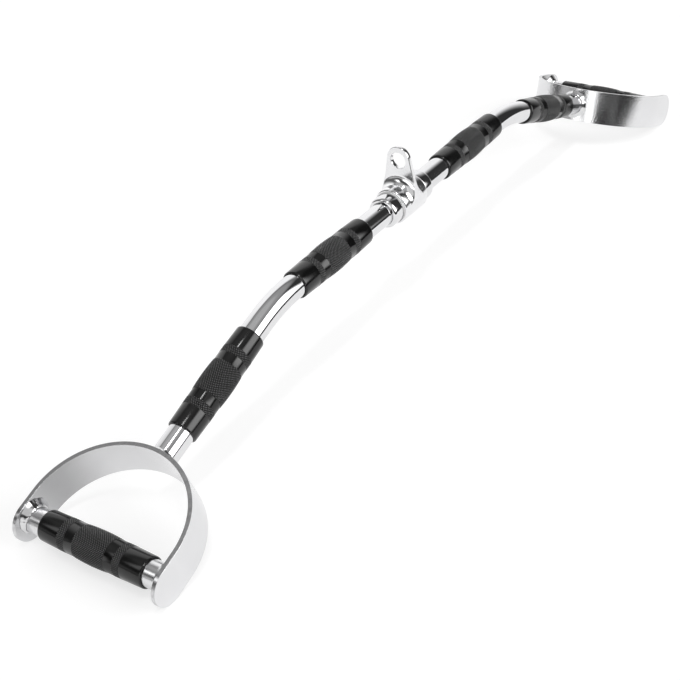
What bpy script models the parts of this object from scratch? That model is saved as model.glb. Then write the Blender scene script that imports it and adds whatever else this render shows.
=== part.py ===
"""Lat pulldown bar: a bent steel bar, a swivelling hanger and a D-shaped handle at each end."""

from math import acos, atan2, cos, pi, radians, sin, sqrt

import bmesh
import bpy
from mathutils import Matrix, Vector

# Driving dimensions in metres. X runs along the bar, Z is up, the handles stand on Z = 0.
GAP = 0.0003

BAR_DIAMETER = 0.0254
CENTRE_HALF_LENGTH = 0.196
BEND_RADIUS = 0.164
DROOP_ANGLE = radians(19.4)
OUTER_RUN = 0.1615

INNER_GRIP_START = 0.0764
OUTER_GRIP_START = 0.0155
BAR_GRIP_LENGTH = 0.116
HANDLE_GRIP_LENGTH = 0.1195
GRIP_END_DIAMETER = 0.0293
GRIP_BAND_DIAMETER = 0.0305
GRIP_BELLY_DIAMETER = 0.0328
GRIP_CHAMFER = 0.0008
GRIP_BAND_STEP = 0.0003
GRIP_BELLY_STEP = 0.0006
GRIP_END_SHARE = 0.20
GRIP_BAND_SHARE = 0.065
GRIP_RING_SHARE = 0.085

STRAP_WIDTH = 0.040
STRAP_THICKNESS = 0.004
STRAP_EDGE = 0.0005
HANDLE_OUTER_WIDTH = 0.1644
HANDLE_DISTANCE = 0.0972
LEG_START = 0.0796
LEG_LENGTH = 0.020
LEG_TIP_HALF_WIDTH = 0.0012

BARREL_DIAMETER = 0.0395
BARREL_LENGTH = 0.042
BARREL_LIP = 0.0018
LUG_THICKNESS = 0.005
LUG_TOP_HEIGHT = 0.0606
LUG_TOP_RADIUS = 0.0133
LUG_FOOT_RADIUS = 0.0203
LUG_FOOT_RISE = 0.008
LUG_EDGE = 0.0008
LUG_FILLET = 0.010
EYE_DIAMETER = 0.0178
EYE_HEIGHT = 0.0454
EYE_EDGE = 0.0006
EYE_CUTTER_SPILL = 0.001

BUSHING_WALL = 0.002
BUSHING_LENGTH = 0.016
WASHER_THICKNESS = 0.0015
WASHER_DIAMETER = 0.0355
COLLAR_LENGTH = 0.0145
COLLAR_DIAMETER = 0.034
COLLAR_CHAMFER = 0.0008
COLLAR_NOSE_DIAMETER = 0.0285
COLLAR_NOSE_LENGTH = 0.004

# The weld bead's outline, as shares of its leg outwards and up the rod
WELD_LEG = 0.0032
WELD_OUTLINE = [(0.0, 0.0), (0.0, 1.0), (0.45, 0.75), (0.80, 0.35), (1.0, 0.0)]

SMOOTH_ANGLE = radians(32)
CORNER_ANGLE = radians(60)

BAR_SIDES = 32
TURNED_SIDES = 28
WELD_SIDES = 24
BEND_STEPS = 8
ARC_STEPS = 14
TIP_STEPS = 6
LUG_TOP_STEPS = 8
LUG_SIDE_STEPS = 5
LUG_FOOT_STEPS = 3
BARREL_STEPS = 7
FILLET_STEPS = 5

# Sizes that follow from the driving dimensions
BAR_RADIUS = BAR_DIAMETER / 2
SLEEVE_RADIUS = BAR_RADIUS + GAP
BARREL_RADIUS = BARREL_DIAMETER / 2
BORE_RADIUS = SLEEVE_RADIUS + BUSHING_WALL + GAP
STRAP_REACH = HANDLE_OUTER_WIDTH / 2
LEG_INNER_FACE = STRAP_REACH - STRAP_THICKNESS
TIP_RADIUS = STRAP_WIDTH / 2
TIP_START = LEG_START + LEG_LENGTH
BEND_DROP = BEND_RADIUS * (1 - cos(DROOP_ANGLE))
BEND_ADVANCE = BEND_RADIUS * sin(DROOP_ANGLE)
TIP_DROP = BEND_DROP + (OUTER_RUN + TIP_START) * sin(DROOP_ANGLE)
BAR_HEIGHT = TIP_DROP + TIP_RADIUS

SIDES = {"left": -1, "right": 1}
LEGS = {"front": -1, "back": 1}

CHROME = ((0.80, 0.80, 0.81, 1.0), 1.0, 0.08)
WELD_CHROME = ((0.74, 0.74, 0.75, 1.0), 1.0, 0.16)
RUBBER = ((0.018, 0.018, 0.019, 1.0), 0.0, 0.42)
BRONZE = ((0.55, 0.36, 0.16, 1.0), 1.0, 0.35)
NYLON = ((0.62, 0.62, 0.60, 1.0), 0.0, 0.45)


def clear_scene():
    for item in list(bpy.data.objects):
        bpy.data.objects.remove(item, do_unlink=True)


def finish_material(name, finish):
    colour, metallic, roughness = finish
    material = bpy.data.materials.new(name)
    material.use_nodes = True
    shader = material.node_tree.nodes["Principled BSDF"]
    shader.inputs["Base Color"].default_value = colour
    shader.inputs["Metallic"].default_value = metallic
    shader.inputs["Roughness"].default_value = roughness
    return material


def add_piece(name, bm, frame, finish):
    """Turn a mesh built in its own frame into a named, placed and shaded object."""
    bmesh.ops.recalc_face_normals(bm, faces=bm.faces)
    mesh = bpy.data.meshes.new(name)
    bm.to_mesh(mesh)
    bm.free()
    mesh.shade_smooth()
    mesh.set_sharp_from_angle(angle=SMOOTH_ANGLE)
    mesh.materials.append(finish_material(name + "_finish", finish))
    piece = bpy.data.objects.new(name, mesh)
    piece.location = frame.to_translation()
    piece.rotation_euler = frame.to_euler()
    bpy.context.scene.collection.objects.link(piece)
    return piece


def centre_frame():
    return Matrix.Translation((0, 0, BAR_HEIGHT))


def side_frame(side):
    """The bar's middle, with X pointing to one end."""
    turn = Matrix.Rotation(0 if side > 0 else pi, 4, "Z")
    return centre_frame() @ turn


def outer_frame(side, distance):
    """A point on the sloping run, that far past the bend, with X pointing down the slope."""
    bend_end = Matrix.Translation((CENTRE_HALF_LENGTH + BEND_ADVANCE, 0, -BEND_DROP))
    slope = Matrix.Rotation(DROOP_ANGLE, 4, "Y")
    return side_frame(side) @ bend_end @ slope @ Matrix.Translation((distance, 0, 0))


def handle_frame(side):
    """The middle of one handle's cross rod, in the plane of its strap."""
    return outer_frame(side, OUTER_RUN + HANDLE_DISTANCE)


def across_frame(side):
    """The middle of one cross rod, with X pointing along the rod."""
    return handle_frame(side) @ Matrix.Rotation(pi / 2, 4, "Z")


def skin(bm, rings, closed):
    """Join rings of equally many points with faces, then close the run or cap its ends."""
    loops = [[bm.verts.new(point) for point in ring] for ring in rings]
    pairs = list(zip(loops, loops[1:]))
    if closed:
        pairs.append((loops[-1], loops[0]))
    for here, there in pairs:
        for index in range(len(here)):
            bm.faces.new((here[index - 1], here[index], there[index], there[index - 1]))
    if not closed:
        bm.faces.new(loops[0])
        bm.faces.new(loops[-1])


def turned(profile, sides=TURNED_SIDES):
    """Spin a closed profile of (x, radius) points about the X axis."""
    bm = bmesh.new()
    points = [bm.verts.new((x, 0, radius)) for x, radius in profile]
    lines = [bm.edges.new((points[index - 1], points[index])) for index in range(len(points))]
    bmesh.ops.spin(bm, geom=points + lines, cent=(0, 0, 0), axis=(1, 0, 0),
                   angle=2 * pi, steps=sides, use_merge=True)
    return bm


def tube_profile(start, length, inner_radius, outer_radius):
    return [(start, inner_radius), (start, outer_radius),
            (start + length, outer_radius), (start + length, inner_radius)]


def circle(frame, radius, sides):
    """Points round the X axis of a frame."""
    angles = [2 * pi * index / sides for index in range(sides)]
    return [frame @ Vector((0, radius * cos(angle), radius * sin(angle))) for angle in angles]


def half_bar_frames():
    """Stations from the first bend to the end of the bar, on the right half."""
    frames = []
    for step in range(BEND_STEPS + 1):
        angle = DROOP_ANGLE * step / BEND_STEPS
        place = Vector((CENTRE_HALF_LENGTH + BEND_RADIUS * sin(angle), 0,
                        BEND_RADIUS * (cos(angle) - 1)))
        frames.append(Matrix.Translation(place) @ Matrix.Rotation(angle, 4, "Y"))
    frames.append(frames[-1] @ Matrix.Translation((OUTER_RUN - GAP, 0, 0)))
    return frames


def add_main_bar():
    right = [circle(frame, BAR_RADIUS, BAR_SIDES) for frame in half_bar_frames()]
    mirror = Matrix.Scale(-1, 4, (1, 0, 0))
    left = [[mirror @ point for point in ring] for ring in reversed(right)]
    bm = bmesh.new()
    skin(bm, left + right, closed=False)
    add_piece("main_bar", bm, centre_frame(), CHROME)


def grip_profile(length):
    """A rubber sleeve that swells in steps to a crowned belly, with a bore for the bar."""
    end_radius = GRIP_END_DIAMETER / 2
    band_radius = GRIP_BAND_DIAMETER / 2
    belly_radius = GRIP_BELLY_DIAMETER / 2
    shoulder_radius = band_radius + GRIP_BELLY_STEP
    crown = belly_radius - shoulder_radius
    half = length / 2
    band_start = half - GRIP_END_SHARE * length
    band_end = band_start - GRIP_BAND_SHARE * length
    belly_start = band_end - GRIP_RING_SHARE * length
    outside = [
        (half, end_radius - GRIP_CHAMFER),
        (half - GRIP_CHAMFER, end_radius),
        (band_start, band_radius - GRIP_BAND_STEP),
        (band_start - GRIP_CHAMFER, band_radius),
        (band_end, band_radius),
        (belly_start, band_radius),
        (belly_start - GRIP_CHAMFER, shoulder_radius),
        (belly_start / 2, belly_radius - crown / 4),
    ]
    far_outside = [(-x, radius) for x, radius in reversed(outside)]
    bore = [(-half, SLEEVE_RADIUS), (half, SLEEVE_RADIUS)]
    return outside + [(0, belly_radius)] + far_outside + bore


def add_grips(label, side):
    inner_middle = INNER_GRIP_START + BAR_GRIP_LENGTH / 2
    inner = side_frame(side) @ Matrix.Translation((inner_middle, 0, 0))
    add_piece("inner_grip_" + label, turned(grip_profile(BAR_GRIP_LENGTH)), inner, RUBBER)
    outer = outer_frame(side, OUTER_GRIP_START + BAR_GRIP_LENGTH / 2)
    add_piece("outer_grip_" + label, turned(grip_profile(BAR_GRIP_LENGTH)), outer, RUBBER)
    across = across_frame(side)
    add_piece("handle_grip_" + label, turned(grip_profile(HANDLE_GRIP_LENGTH)), across, RUBBER)


def half_strap_line():
    """Points (x, y, half width) of the strap's outer face from its top to one rounded tip."""
    line = []
    for step in range(ARC_STEPS + 1):
        angle = pi / 2 * step / ARC_STEPS
        line.append((LEG_START * (1 - cos(angle)), STRAP_REACH * sin(angle), TIP_RADIUS))
    last_angle = acos(LEG_TIP_HALF_WIDTH / TIP_RADIUS)
    angles = [last_angle * step / TIP_STEPS for step in range(TIP_STEPS)]
    nearest = min(angles, key=lambda angle: abs(angle - DROOP_ANGLE))
    angles[angles.index(nearest)] = DROOP_ANGLE
    for angle in angles:
        line.append((TIP_START + TIP_RADIUS * sin(angle), STRAP_REACH, TIP_RADIUS * cos(angle)))
    line.append((TIP_START + TIP_RADIUS, STRAP_REACH, LEG_TIP_HALF_WIDTH))
    return line


def add_strap(label, side):
    """A flat strap bent to a D: a sheet along its outer face, thickened inwards."""
    half = half_strap_line()
    line = [(x, -y, width) for x, y, width in reversed(half[1:])] + half
    bm = bmesh.new()
    upper = [bm.verts.new((x, y, width)) for x, y, width in line]
    lower = [bm.verts.new((x, y, -width)) for x, y, width in line]
    for index in range(len(line) - 1):
        bm.faces.new((upper[index], upper[index + 1], lower[index + 1], lower[index]))
    strap = add_piece("handle_strap_" + label, bm, outer_frame(side, OUTER_RUN), CHROME)
    thicken = strap.modifiers.new("thickness", "SOLIDIFY")
    thicken.thickness = STRAP_THICKNESS
    thicken.offset = -1
    thicken.use_even_offset = True
    soften = strap.modifiers.new("edges", "BEVEL")
    soften.width = STRAP_EDGE
    soften.segments = 1
    soften.limit_method = "ANGLE"
    soften.angle_limit = CORNER_ANGLE


def add_handle_rod(label, side):
    reach = LEG_INNER_FACE - GAP
    ends = [circle(Matrix.Translation((x, 0, 0)), BAR_RADIUS, BAR_SIDES) for x in (-reach, reach)]
    bm = bmesh.new()
    skin(bm, ends, closed=False)
    add_piece("handle_rod_" + label, bm, across_frame(side), CHROME)


def weld_bead(base):
    """A ring round the X axis, standing on the surface x = base(y), thinning up the rod."""
    rings = []
    for index in range(WELD_SIDES):
        angle = 2 * pi * index / WELD_SIDES
        ring = []
        for out, up in WELD_OUTLINE:
            radius = SLEEVE_RADIUS + WELD_LEG * out
            y = radius * cos(angle)
            ring.append(Vector((base(y) - GAP - WELD_LEG * up, y, radius * sin(angle))))
        rings.append(ring)
    bm = bmesh.new()
    skin(bm, rings, closed=True)
    return bm


def strap_top(y):
    return LEG_START * (1 - sqrt(1 - (y / STRAP_REACH) ** 2))


def leg_face(y):
    return 0.0


def add_welds(label, side):
    add_piece("strap_weld_" + label, weld_bead(strap_top), outer_frame(side, OUTER_RUN), WELD_CHROME)
    for leg_label, leg in LEGS.items():
        face = Matrix.Translation((0, leg * LEG_INNER_FACE, 0))
        frame = handle_frame(side) @ face @ Matrix.Rotation(leg * pi / 2, 4, "Z")
        add_piece("handle_weld_" + label + "_" + leg_label, weld_bead(leg_face), frame, WELD_CHROME)


def half_lug_outline():
    """Points (y, z) round half of the hanger, from its top to its lowest point."""
    top_centre = LUG_TOP_HEIGHT - LUG_TOP_RADIUS
    tangent = acos((LUG_FOOT_RADIUS - LUG_TOP_RADIUS) / (top_centre - LUG_FOOT_RISE))
    points = []
    for step in range(LUG_TOP_STEPS):
        angle = tangent * step / LUG_TOP_STEPS
        points.append((LUG_TOP_RADIUS * sin(angle), top_centre + LUG_TOP_RADIUS * cos(angle)))
    start = (LUG_TOP_RADIUS * sin(tangent), top_centre + LUG_TOP_RADIUS * cos(tangent))
    end = (LUG_FOOT_RADIUS * sin(tangent), LUG_FOOT_RISE + LUG_FOOT_RADIUS * cos(tangent))
    for step in range(LUG_SIDE_STEPS):
        share = step / LUG_SIDE_STEPS
        points.append((start[0] + share * (end[0] - start[0]), start[1] + share * (end[1] - start[1])))
    meeting_height = (BARREL_RADIUS ** 2 + LUG_FOOT_RISE ** 2 - LUG_FOOT_RADIUS ** 2) / (2 * LUG_FOOT_RISE)
    meeting = acos((meeting_height - LUG_FOOT_RISE) / LUG_FOOT_RADIUS)
    for step in range(LUG_FOOT_STEPS):
        angle = tangent + (meeting - tangent) * step / LUG_FOOT_STEPS
        points.append((LUG_FOOT_RADIUS * sin(angle), LUG_FOOT_RISE + LUG_FOOT_RADIUS * cos(angle)))
    barrel_start = acos(meeting_height / BARREL_RADIUS)
    for step in range(BARREL_STEPS + 1):
        angle = barrel_start + (pi - barrel_start) * step / BARREL_STEPS
        points.append((BARREL_RADIUS * sin(angle), BARREL_RADIUS * cos(angle)))
    return points


def half_hanger_section(reach):
    """Points (x, radius) from the bore to the rim of the lug, which stands out to reach."""
    half_length = BARREL_LENGTH / 2
    lip = BARREL_LIP * (1 - cos(pi / 4))
    section = [
        (half_length, BORE_RADIUS),
        (half_length, BARREL_RADIUS - BARREL_LIP),
        (half_length - lip, BARREL_RADIUS - lip),
        (half_length - BARREL_LIP, BARREL_RADIUS),
    ]
    height = max(0.0, reach - BARREL_RADIUS)
    wall = LUG_THICKNESS / 2
    turn = acos(1 - min(1.0, height / LUG_FILLET))
    for step in range(FILLET_STEPS + 1):
        angle = turn * step / FILLET_STEPS
        x = wall + LUG_FILLET * (1 - sin(angle))
        section.append((x, BARREL_RADIUS + LUG_FILLET * (1 - cos(angle))))
    edge = min(LUG_EDGE, max(0.0, height - LUG_FILLET))
    flat_end = section[-1][0]
    section.append((flat_end, BARREL_RADIUS + height - edge))
    section.append((flat_end - edge, BARREL_RADIUS + height))
    return section


def eye_cutter():
    """A rod with flared ends that cuts the eye and chamfers its edges."""
    radius = EYE_DIAMETER / 2
    wall = LUG_THICKNESS / 2
    far = wall + EYE_CUTTER_SPILL
    flared = radius + EYE_EDGE + EYE_CUTTER_SPILL
    stations = [(-far, flared), (EYE_EDGE - wall, radius), (wall - EYE_EDGE, radius), (far, flared)]
    rings = [circle(Matrix.Translation((x, 0, 0)), size, BAR_SIDES) for x, size in stations]
    bm = bmesh.new()
    skin(bm, rings, closed=False)
    frame = centre_frame() @ Matrix.Translation((0, 0, EYE_HEIGHT))
    cutter = add_piece("eye_cutter", bm, frame, CHROME)
    cutter.hide_render = True
    cutter.display_type = "WIRE"
    return cutter


def add_hanger():
    """The barrel that turns on the bar, and the lug with the eye, blended with wide fillets."""
    half = half_lug_outline()
    outline = half + [(-y, z) for y, z in reversed(half[1:-1])]
    rings = []
    for y, z in outline:
        angle = atan2(y, z)
        section = half_hanger_section(sqrt(y * y + z * z))
        section += [(-x, radius) for x, radius in reversed(section)]
        rings.append([Vector((x, radius * sin(angle), radius * cos(angle))) for x, radius in section])
    bm = bmesh.new()
    skin(bm, rings, closed=True)
    bmesh.ops.remove_doubles(bm, verts=bm.verts, dist=1e-6)
    hanger = add_piece("swivel_hanger", bm, centre_frame(), CHROME)
    cut = hanger.modifiers.new("eye", "BOOLEAN")
    cut.operation = "DIFFERENCE"
    cut.object = eye_cutter()


def collar_profile(start):
    """A collar that narrows to a rounded nose away from the hanger."""
    end = start + COLLAR_LENGTH
    outer = COLLAR_DIAMETER / 2
    nose = COLLAR_NOSE_DIAMETER / 2
    shoulder = end - COLLAR_NOSE_LENGTH
    quarter = cos(pi / 4)
    return [
        (start, SLEEVE_RADIUS),
        (start, outer - COLLAR_CHAMFER),
        (start + COLLAR_CHAMFER, outer),
        (shoulder, outer),
        (shoulder + COLLAR_NOSE_LENGTH * quarter, nose + (outer - nose) * quarter),
        (end, nose),
        (end, SLEEVE_RADIUS),
    ]


def add_hanger_bearing(label, side):
    """A bushing inside the barrel, a washer against its end and a collar fixed to the bar."""
    frame = side_frame(side)
    bushing_start = BARREL_LENGTH / 2 - BUSHING_LENGTH
    bushing = tube_profile(bushing_start, BUSHING_LENGTH, SLEEVE_RADIUS, SLEEVE_RADIUS + BUSHING_WALL)
    add_piece("bushing_" + label, turned(bushing), frame, BRONZE)
    washer_start = BARREL_LENGTH / 2 + GAP
    washer = tube_profile(washer_start, WASHER_THICKNESS, SLEEVE_RADIUS, WASHER_DIAMETER / 2)
    add_piece("washer_" + label, turned(washer), frame, NYLON)
    collar_start = washer_start + WASHER_THICKNESS + GAP
    add_piece("collar_" + label, turned(collar_profile(collar_start)), frame, CHROME)


def main():
    clear_scene()
    add_main_bar()
    add_hanger()
    for label, side in SIDES.items():
        add_hanger_bearing(label, side)
        add_grips(label, side)
        add_strap(label, side)
        add_handle_rod(label, side)
        add_welds(label, side)


main()
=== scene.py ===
from collections import namedtuple
from math import acos, atan2, cos, pi, radians, sin, sqrt

import bmesh
import bpy
from bpy.props import FloatProperty, FloatVectorProperty, PointerProperty
from mathutils import Matrix, Vector


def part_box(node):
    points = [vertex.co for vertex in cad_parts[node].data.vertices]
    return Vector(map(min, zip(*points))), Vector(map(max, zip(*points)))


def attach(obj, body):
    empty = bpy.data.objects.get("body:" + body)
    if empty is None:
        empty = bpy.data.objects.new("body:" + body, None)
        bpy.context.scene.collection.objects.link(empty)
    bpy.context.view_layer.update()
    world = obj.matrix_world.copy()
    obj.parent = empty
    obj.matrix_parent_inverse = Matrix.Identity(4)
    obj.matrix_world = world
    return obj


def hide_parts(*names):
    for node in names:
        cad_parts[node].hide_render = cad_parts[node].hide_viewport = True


bl_info = {
    "name": "Lat Pulldown Bar",
    "version": (1, 0, 0),
    "blender": (4, 5, 0),
    "location": "View3D > Sidebar > Pulldown Bar",
    "description": "Builds a bent pulldown bar with a turning hanger, rubber grips and D handles",
    "category": "Object",
}

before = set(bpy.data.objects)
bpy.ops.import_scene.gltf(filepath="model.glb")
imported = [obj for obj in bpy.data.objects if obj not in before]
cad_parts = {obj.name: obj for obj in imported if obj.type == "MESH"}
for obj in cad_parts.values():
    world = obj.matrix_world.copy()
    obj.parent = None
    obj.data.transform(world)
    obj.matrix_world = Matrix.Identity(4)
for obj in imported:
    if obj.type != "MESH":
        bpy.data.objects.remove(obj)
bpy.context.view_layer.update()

SIDES = {"left": -1, "right": 1}
LEGS = {"front": -1, "back": 1}
FIXED_BODY = "bar"
TURNING_BODY = "hanger"

# Clearance between neighbouring pieces, and how finely round shapes are cut
GAP = 0.0003
TUBE_SIDES = 96
BEND_STEPS = 40
TURNED_SIDES = 96
ROUNDING_STEPS = 4
SMOOTH_ANGLE = radians(32)
KNURL_SLOT = 1


def length(name, default, description):
    """A size in metres that the sidebar shows with its unit."""
    return FloatProperty(name=name, default=default, description=description,
                         unit="LENGTH", precision=5, min=0.0)


def colour(name, default, description):
    return FloatVectorProperty(name=name, default=default, description=description,
                               subtype="COLOR", size=3, min=0.0, max=1.0)


class BarSizes(bpy.types.PropertyGroup):
    """The bent bar."""

    diameter: length("Diameter", 0.0254, "Thickness of the round bar")
    centre_half_length: length("Half of the middle run", 0.196, "From the middle to a bend")
    bend_radius: length("Bend radius", 0.164, "Radius of each bend along the bar's middle line")
    droop: FloatProperty(name="Droop", default=radians(19.4), subtype="ANGLE",
                         description="How far each end slopes down")
    outer_run: length("Sloping run", 0.1615, "From the bend to the handle strap")


class GripSizes(bpy.types.PropertyGroup):
    """The rubber sleeves."""

    inner_start: length("Inner grip start", 0.0764, "From the middle of the bar")
    outer_start: length("Outer grip start", 0.0155, "From the end of the bend")
    bar_grip: length("Bar grip length", 0.116, "Length of the four grips on the bar")
    handle_grip: length("Handle grip length", 0.1195, "Length of the handles' grips")
    end_diameter: length("End diameter", 0.0293, "Thickness at the grip's ends")
    band_diameter: length("Band diameter", 0.0305, "Thickness at the narrow bands")
    belly_diameter: length("Belly diameter", 0.0328, "Thickness at the widest place")


class HandleSizes(bpy.types.PropertyGroup):
    """The D handles."""

    strap_width: length("Strap width", 0.040, "Width of the flat strap")
    strap_thickness: length("Strap thickness", 0.004, "Thickness of the flat strap")
    outer_width: length("Outer width", 0.1644, "Across the two legs")
    rod_distance: length("Rod distance", 0.0972, "From the strap's top to the cross rod")
    leg_start: length("Leg start", 0.0796, "Where the round top turns into straight legs")
    leg_length: length("Leg length", 0.020, "Straight part before the rounded tip")
    weld_leg: length("Weld size", 0.0032, "Leg of the weld beads")


class HangerSizes(bpy.types.PropertyGroup):
    """The swivelling hanger and its collars."""

    barrel_diameter: length("Barrel diameter", 0.0395, "Thickness of the barrel")
    barrel_length: length("Barrel length", 0.042, "Length of the barrel along the bar")
    barrel_lip: length("Barrel lip", 0.0018, "Rounding of the barrel's ends")
    lug_thickness: length("Lug thickness", 0.005, "Thickness of the upright lug")
    lug_top_height: length("Lug height", 0.0606, "Top of the lug above the bar's middle")
    lug_top_radius: length("Lug top radius", 0.0133, "Rounding of the lug's top")
    lug_foot_radius: length("Lug foot radius", 0.0203, "Rounding of the lug's foot")
    lug_foot_rise: length("Lug foot rise", 0.008, "How far the foot's middle is above the bar's")
    fillet: length("Fillet", 0.010, "Hollow between the lug and the barrel")
    eye_diameter: length("Eye diameter", 0.0178, "Hole for the snap hook")
    eye_height: length("Eye height", 0.0454, "Middle of the eye above the bar's")
    collar_length: length("Collar length", 0.0145, "Length of each collar")
    collar_diameter: length("Collar diameter", 0.034, "Thickness of each collar")
    collar_nose_diameter: length("Collar nose", 0.0285, "Thickness at the collar's far end")
    washer_diameter: length("Washer diameter", 0.0355, "Thickness of each washer")
    washer_thickness: length("Washer thickness", 0.0015, "Length of each washer along the bar")


class FinishColours(bpy.types.PropertyGroup):
    """Colours of the materials."""

    chrome: colour("Chrome", (0.80, 0.80, 0.81), "Polished plate")
    # The hanger's lighter plate is painted light, for brighter reflections on it than the room
    # gives
    cast: colour("Cast chrome", (0.88, 0.88, 0.89), "Plate over the hanger")
    # The rims' darker plate is painted shade, for the dark reflections along the straps' edges
    rim: colour("Rim chrome", (0.70, 0.70, 0.71), "Duller plate on the straps' rims")
    weld: colour("Weld chrome", (0.78, 0.78, 0.79), "Plate over the weld beads")
    rubber: colour("Rubber", (0.004, 0.004, 0.004), "Smooth rubber of the grips")
    # The knurl's light colour stays only on its peaks, partly as painted highlight; painted shade
    # darkens its grooves
    knurl: colour("Knurled rubber", (0.380, 0.380, 0.383), "Rough rubber of the grips")
    bronze: colour("Bronze", (0.55, 0.36, 0.16), "Bushings")
    nylon: colour("Nylon", (0.80, 0.80, 0.80), "Washers")


class StageSettings(bpy.types.PropertyGroup):
    """The floor, the light and the camera."""

    floor: colour("Floor", (0.39, 0.39, 0.39), "Floor and background")
    floor_glow: FloatProperty(name="Floor glow", default=0.695, min=0.0,
                              description="White added to the floor in the picture")
    mirrored_floor: colour("Mirrored floor", (0.55, 0.55, 0.55), "The floor in reflections")
    mirrored_glow: FloatProperty(name="Mirrored glow", default=0.50, min=0.0,
                                 description="White added to the floor in reflections")
    floor_length: length("Floor length", 3.2, "Along the bar")
    floor_depth: length("Floor depth", 2.4, "Across the bar")
    floor_front: length("Floor front", 0.50, "From the bar to the floor's near edge")
    brightness: FloatProperty(name="Brightness", default=1.0, min=0.0,
                              description="Level of the light panels")
    lens: FloatProperty(name="Lens", default=72.425, description="Focal length in millimetres")


def bar_sizes():
    return bpy.context.scene.pulldown_bar


def grip_sizes():
    return bpy.context.scene.pulldown_grips


def handle_sizes():
    return bpy.context.scene.pulldown_handles


def hanger_sizes():
    return bpy.context.scene.pulldown_hanger


def stage_settings():
    return bpy.context.scene.pulldown_stage


# Places on the bar


def bend_drop():
    bar = bar_sizes()
    return bar.bend_radius * (1 - cos(bar.droop))


def bar_height():
    """The bar's middle line above the floor, with the strap's tips standing on it."""
    bar, handle = bar_sizes(), handle_sizes()
    slope = bar.outer_run + handle.leg_start + handle.leg_length
    return bend_drop() + slope * sin(bar.droop) + handle.strap_width / 2


def centre_frame():
    return Matrix.Translation((0, 0, bar_height()))


def side_frame(side):
    """The bar's middle, with X pointing to one end."""
    return centre_frame() @ Matrix.Rotation(0 if side > 0 else pi, 4, "Z")


def outer_frame(side, distance):
    """A point on the sloping run, that far past the bend, with X pointing down the slope."""
    bar = bar_sizes()
    advance = bar.centre_half_length + bar.bend_radius * sin(bar.droop)
    bend_end = Matrix.Translation((advance, 0, -bend_drop()))
    slope = Matrix.Rotation(bar.droop, 4, "Y")
    return side_frame(side) @ bend_end @ slope @ Matrix.Translation((distance, 0, 0))


def handle_frame(side):
    """The middle of one handle's cross rod, in the plane of its strap."""
    return outer_frame(side, bar_sizes().outer_run + handle_sizes().rod_distance)


def across_frame(side):
    """The middle of one cross rod, with X pointing along the rod."""
    return handle_frame(side) @ Matrix.Rotation(pi / 2, 4, "Z")


# Meshes


def add_piece(name, bm, place, materials):
    """Turn a mesh built in its own frame into a named, placed and shaded object."""
    bmesh.ops.recalc_face_normals(bm, faces=bm.faces)
    for face in bm.faces:
        face.smooth = face.material_index != KNURL_SLOT
    mesh = bpy.data.meshes.new(name)
    bm.to_mesh(mesh)
    bm.free()
    mesh.set_sharp_from_angle(angle=SMOOTH_ANGLE)
    for material in materials:
        mesh.materials.append(material)
    piece = bpy.data.objects.new(name, mesh)
    bpy.context.scene.collection.objects.link(piece)
    piece.matrix_world = place
    return piece


def finish_piece(piece, body, nodes):
    """Attach a piece to the body it rides on, and hide the CAD nodes it stands in for."""
    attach(piece, body)
    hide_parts(*nodes)


def skin(bm, rings, closed):
    """Join rings of equally many points with faces, then close the run or cap its ends."""
    loops = [[bm.verts.new(point) for point in ring] for ring in rings]
    pairs = list(zip(loops, loops[1:]))
    if closed:
        pairs.append((loops[-1], loops[0]))
    for here, there in pairs:
        for index in range(len(here)):
            bm.faces.new((here[index - 1], here[index], there[index], there[index - 1]))
    if not closed:
        bm.faces.new(loops[0])
        bm.faces.new(loops[-1])


def ring_of(place, radius, sides):
    """Points round the X axis of a frame."""
    angles = [2 * pi * index / sides for index in range(sides)]
    return [place @ Vector((0, radius * cos(angle), radius * sin(angle))) for angle in angles]


def ring_at(x, radius, sides):
    return ring_of(Matrix.Translation((x, 0, 0)), radius, sides)


def turned(profile):
    """Turn a closed profile of (x, radius) points about the X axis."""
    bm = bmesh.new()
    skin(bm, [ring_at(x, radius, TURNED_SIDES) for x, radius in profile], closed=True)
    return bm


def turns(steps, start=0.0, end=pi / 2):
    """Evenly spaced angles from start to end, a quarter turn unless told otherwise."""
    return [start + (end - start) * step / steps for step in range(steps + 1)]


def rounded(start, corner, end, size):
    """Points of a small arc that rounds a corner of a profile."""
    corner = Vector(corner)
    into = (Vector(start) - corner).normalized() * size
    out = (Vector(end) - corner).normalized() * size
    shares = [step / ROUNDING_STEPS for step in range(ROUNDING_STEPS + 1)]
    return [tuple(corner + into * (1 - share) ** 2 + out * share ** 2) for share in shares]


def half_bar_frames():
    """Stations from the first bend to the end of the bar, on the right half."""
    bar = bar_sizes()
    frames = []
    for angle in turns(BEND_STEPS, 0.0, bar.droop):
        place = Vector((bar.centre_half_length + bar.bend_radius * sin(angle), 0,
                        bar.bend_radius * (cos(angle) - 1)))
        frames.append(Matrix.Translation(place) @ Matrix.Rotation(angle, 4, "Y"))
    frames.append(frames[-1] @ Matrix.Translation((bar.outer_run - GAP, 0, 0)))
    return frames


def main_bar_mesh():
    radius = bar_sizes().diameter / 2
    right = [ring_of(place, radius, TUBE_SIDES) for place in half_bar_frames()]
    mirror = Matrix.Scale(-1, 4, (1, 0, 0))
    left = [[mirror @ point for point in ring] for ring in reversed(right)]
    bm = bmesh.new()
    skin(bm, left + right, closed=False)
    return bm


GRIP_SIDES = 88
KNURL_PITCH = 0.0023
KNURL_DEPTH = 0.0006
KNURL_PEAK = "knurl peak"
# Shares of a grip's length, from its end inwards: smooth cap, knurled band, smooth ring
GRIP_SHARES = {"end": 0.20, "band": 0.065, "ring": 0.085}
# The rounded tip of a grip, as distances inwards along it and down from its end thickness
TIP_ROUNDING = ((0.0001, 0.0012), (0.0004, 0.0005), (0.0010, 0.0001), (0.0018, 0.0))
CAP_LENGTH = 0.006
CAP_RISE = 0.0001
STEP_EDGE = 0.0005
RING_STEP = 0.0001
BELLY_STEP = 0.0005


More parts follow.
